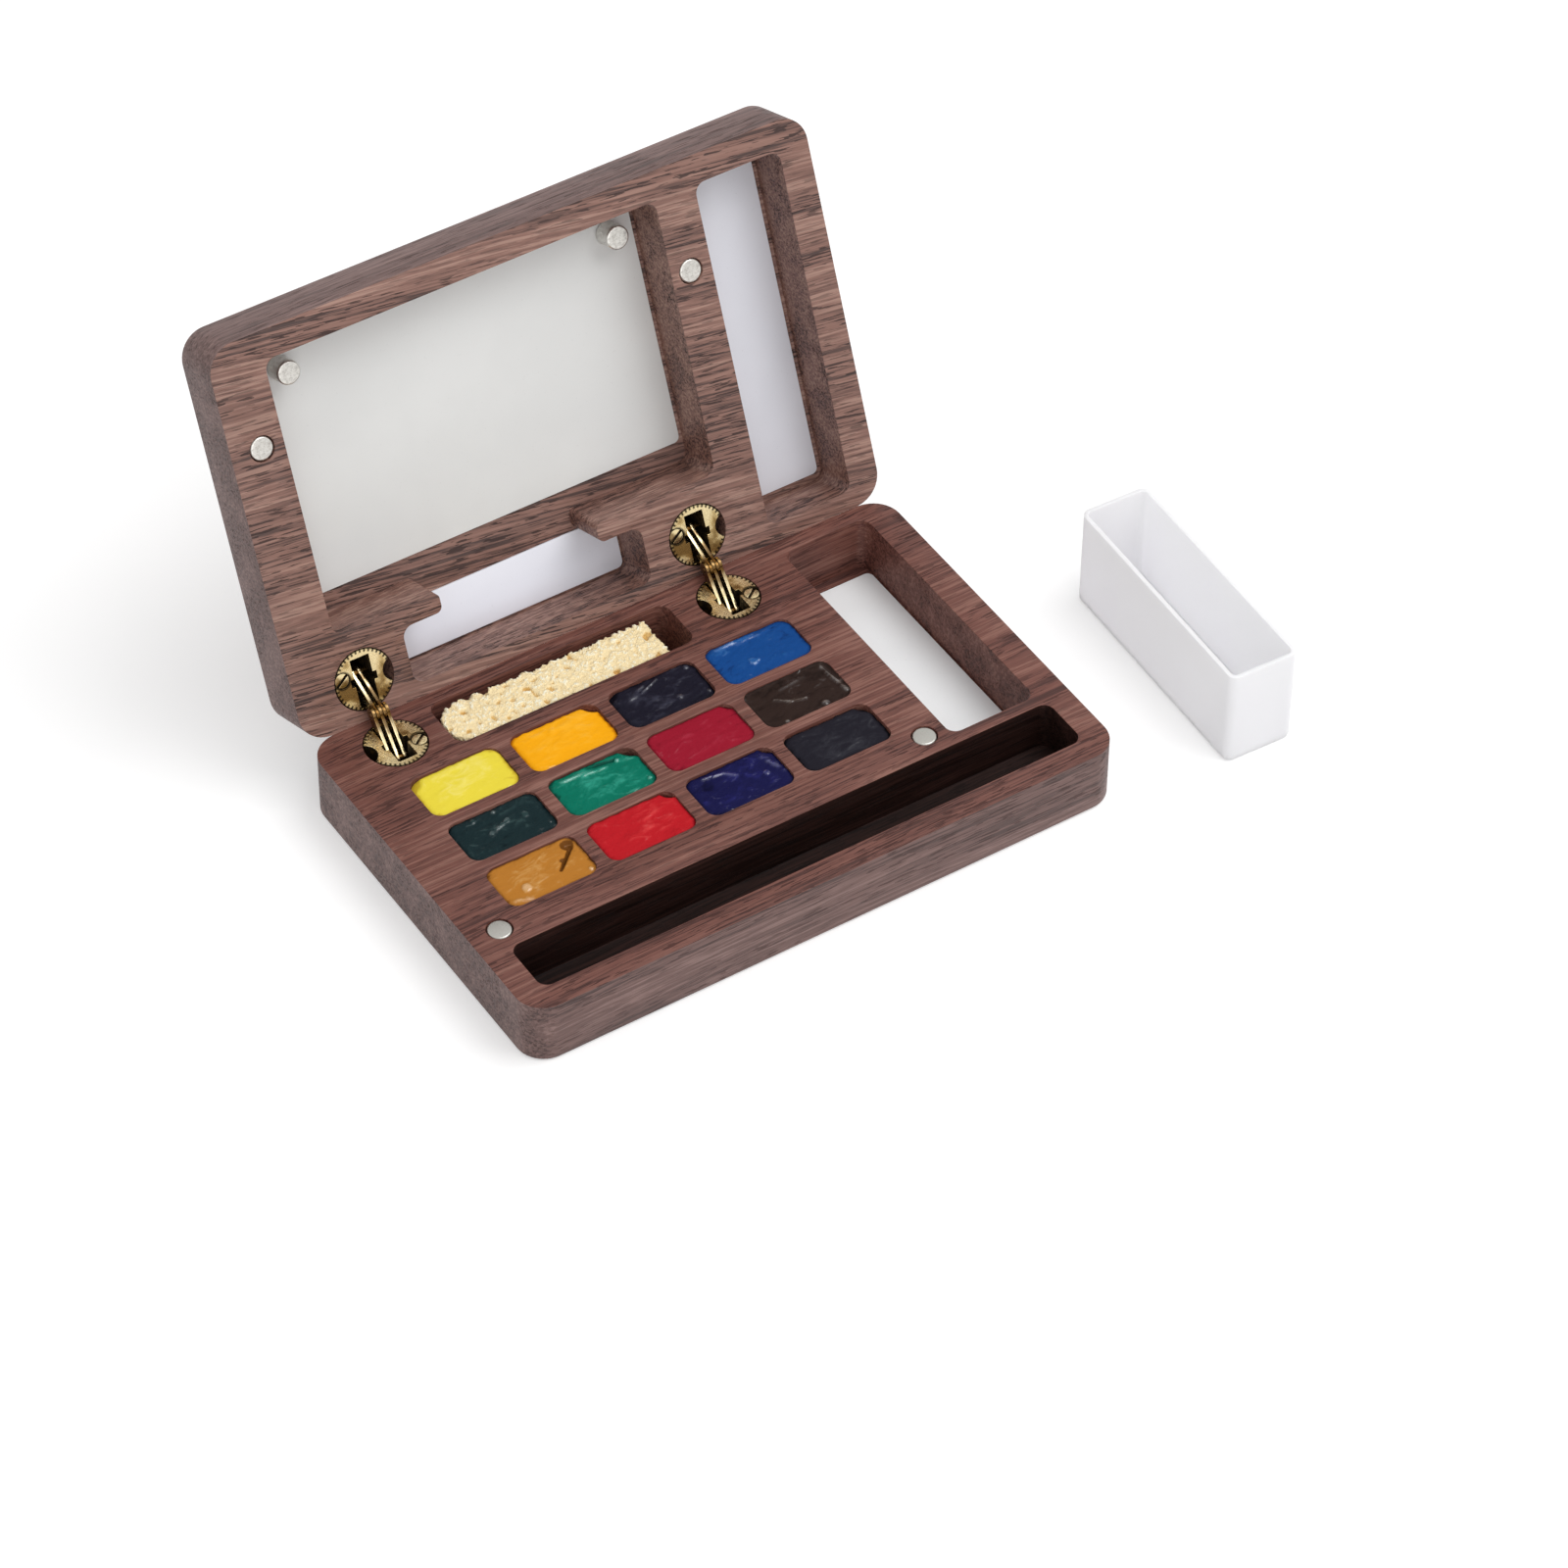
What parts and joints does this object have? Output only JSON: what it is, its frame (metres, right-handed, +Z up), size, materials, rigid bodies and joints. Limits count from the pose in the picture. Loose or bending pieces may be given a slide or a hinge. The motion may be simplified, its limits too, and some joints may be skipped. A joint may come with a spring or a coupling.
{
  "type": "pocket watercolour box",
  "caption": "Hinged wooden pocket watercolour box with poured paints, sponge, mixing plates, brush slot and a loose water cup, on two barrel hinges.",
  "frame": {"origin": "centre of the underside of the base block", "axes": "+X along the long side to the right, +Y from the front towards the hinges, +Z up"},
  "size_m": [0.1631, 0.1232, 0.0864],
  "materials": {
    "walnut": "oiled, open grain",
    "sponge": "dry cellulose sponge, matt",
    "white_enamel": "gloss enamel on sheet steel",
    "grey_enamel": "satin enamel on sheet steel",
    "nickel": "bright nickel plate",
    "brass": "bright turned brass",
    "screw_steel": "plain steel",
    "cup_plastic": "translucent white, satin",
    "paint_yellow": "poured watercolour, glossy gum surface",
    "paint_amber": "poured watercolour, glossy gum surface",
    "paint_indigo": "poured watercolour, glossy gum surface",
    "paint_blue": "poured watercolour, glossy gum surface",
    "paint_pine_green": "poured watercolour, glossy gum surface",
    "paint_emerald": "poured watercolour, glossy gum surface",
    "paint_crimson": "poured watercolour, glossy gum surface",
    "paint_umber": "poured watercolour, glossy gum surface",
    "paint_ochre": "poured watercolour, glossy gum surface",
    "paint_red": "poured watercolour, glossy gum surface",
    "paint_ultramarine": "poured watercolour, glossy gum surface",
    "paint_black": "poured watercolour, glossy gum surface"
  },
  "bodies": {
    "base": {"base_block": "walnut", "paint_yellow": "paint_yellow", "paint_amber": "paint_amber", "paint_indigo": "paint_indigo", "paint_blue": "paint_blue", "paint_pine_green": "paint_pine_green", "paint_emerald": "paint_emerald", "paint_crimson": "paint_crimson", "paint_umber": "paint_umber", "paint_ochre": "paint_ochre", "paint_red": "paint_red", "paint_ultramarine": "paint_ultramarine", "paint_black": "paint_black", "sponge": "sponge", "cup_plate": "white_enamel", "base_magnet_left": "nickel", "base_magnet_right": "nickel", "base_barrel_left": "brass", "base_clamp_screw_left": "screw_steel", "base_barrel_right": "brass", "base_clamp_screw_right": "screw_steel"},
    "lid": {"lid_block": "walnut", "lid_side_plate": "white_enamel", "lid_recess_plate": "white_enamel", "mixing_plate": "grey_enamel", "lid_magnet_left": "nickel", "lid_magnet_right": "nickel", "paper_magnet_left": "nickel", "paper_magnet_right": "nickel", "lid_barrel_left": "brass", "lid_clamp_screw_left": "screw_steel", "lid_barrel_right": "brass", "lid_clamp_screw_right": "screw_steel"},
    "base_slide_left": {"base_slide_pin_left": "screw_steel"},
    "base_leaves_left": {"base_leaf_left_1": "brass", "base_leaf_left_2": "brass", "base_leaf_left_3": "brass", "knuckle_pin_left": "screw_steel"},
    "lid_slide_left": {"lid_slide_pin_left": "screw_steel"},
    "lid_leaves_left": {"lid_leaf_left_1": "brass", "lid_leaf_left_2": "brass"},
    "base_slide_right": {"base_slide_pin_right": "screw_steel"},
    "base_leaves_right": {"base_leaf_right_1": "brass", "base_leaf_right_2": "brass", "base_leaf_right_3": "brass", "knuckle_pin_right": "screw_steel"},
    "lid_slide_right": {"lid_slide_pin_right": "screw_steel"},
    "lid_leaves_right": {"lid_leaf_right_1": "brass", "lid_leaf_right_2": "brass"},
    "water_cup": {"water_cup": "cup_plastic"}
  },
  "joints": [
    {"name": "lid_hinge", "type": "hinge", "parent": "base", "child": "lid", "pos_m": [0, 0.03927, 0.01362], "axis": [-1, 0, 0], "range_deg": [-112, 68]},
    {"name": "base_pin_slide_left", "type": "slide", "parent": "base", "child": "base_slide_left", "axis": [0, 0, 1], "range_m": [-0.0047, 0.00289]},
    {"name": "base_leaf_turn_left", "type": "hinge", "parent": "base_slide_left", "child": "base_leaves_left", "pos_m": [-0.0482, 0.0315, 0.00943], "axis": [-1, 0, 0], "range_deg": [-25.44, 15.53]},
    {"name": "lid_pin_slide_left", "type": "slide", "parent": "lid", "child": "lid_slide_left", "axis": [0, -0.9272, 0.3746], "range_m": [-0.0047, 0.00289]},
    {"name": "lid_leaf_turn_left", "type": "hinge", "parent": "lid_slide_left", "child": "lid_leaves_left", "pos_m": [-0.0482, 0.04608, 0.01926], "axis": [1, 0, 0], "range_deg": [-25.44, 15.53]},
    {"name": "base_pin_slide_right", "type": "slide", "parent": "base", "child": "base_slide_right", "axis": [0, 0, 1], "range_m": [-0.0047, 0.00289]},
    {"name": "base_leaf_turn_right", "type": "hinge", "parent": "base_slide_right", "child": "base_leaves_right", "pos_m": [0.0232, 0.0315, 0.00943], "axis": [-1, 0, 0], "range_deg": [-25.44, 15.53]},
    {"name": "lid_pin_slide_right", "type": "slide", "parent": "lid", "child": "lid_slide_right", "axis": [0, -0.9272, 0.3746], "range_m": [-0.0047, 0.00289]},
    {"name": "lid_leaf_turn_right", "type": "hinge", "parent": "lid_slide_right", "child": "lid_leaves_right", "pos_m": [0.0232, 0.04608, 0.01926], "axis": [1, 0, 0], "range_deg": [-25.44, 15.53]},
    {"name": "cup_lift", "type": "slide", "parent": "base", "child": "water_cup", "axis": [0, 0, 1], "range_m": [0, 0.03]}
  ],
  "couplings": [
    {"joint": "base_pin_slide_left", "follows": "lid_hinge", "m_per_rad": 0.0023549},
    {"joint": "base_leaf_turn_left", "follows": "lid_hinge", "ratio": 0.2254},
    {"joint": "lid_pin_slide_left", "follows": "lid_hinge", "m_per_rad": 0.0023549},
    {"joint": "lid_leaf_turn_left", "follows": "lid_hinge", "ratio": 0.2254},
    {"joint": "base_pin_slide_right", "follows": "lid_hinge", "m_per_rad": 0.0023549},
    {"joint": "base_leaf_turn_right", "follows": "lid_hinge", "ratio": 0.2254},
    {"joint": "lid_pin_slide_right", "follows": "lid_hinge", "m_per_rad": 0.0023549},
    {"joint": "lid_leaf_turn_right", "follows": "lid_hinge", "ratio": 0.2254}
  ]
}
